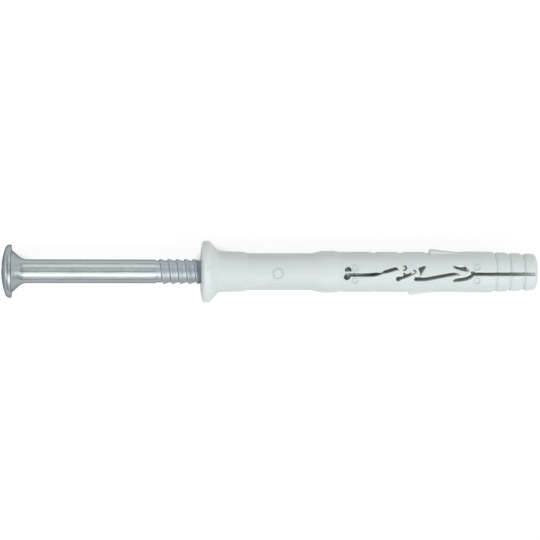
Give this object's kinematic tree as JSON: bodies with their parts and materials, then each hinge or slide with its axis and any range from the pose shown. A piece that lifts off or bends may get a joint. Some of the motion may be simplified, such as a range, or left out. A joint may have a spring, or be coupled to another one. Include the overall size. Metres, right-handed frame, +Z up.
{
  "type": "hammer fixing plug",
  "caption": "Hammer-in wall fixing: a grey collared plastic sleeve with zigzag expansion slots and fins, with a zinc-plated nail screw set part way into it.",
  "frame": {"origin": "centre of the collar's front face, on the axis of the fixing", "axes": "+X along the axis towards the sleeve's tip, +Z up through the slots as the fixing lies, fins at +Y and -Y"},
  "size_m": [0.0949, 0.0108, 0.0109],
  "materials": {
    "grey_nylon": "moulded light grey nylon, satin",
    "zinc_steel": "bright zinc plated cold-formed steel"
  },
  "bodies": {
    "sleeve": {"plug_sleeve": "grey_nylon"},
    "nail": {"nail_screw": "zinc_steel"}
  },
  "joints": [
    {"name": "nail_drive", "type": "slide", "parent": "sleeve", "child": "nail", "axis": [1, 0, 0], "range_m": [0, 0.0331]}
  ]
}
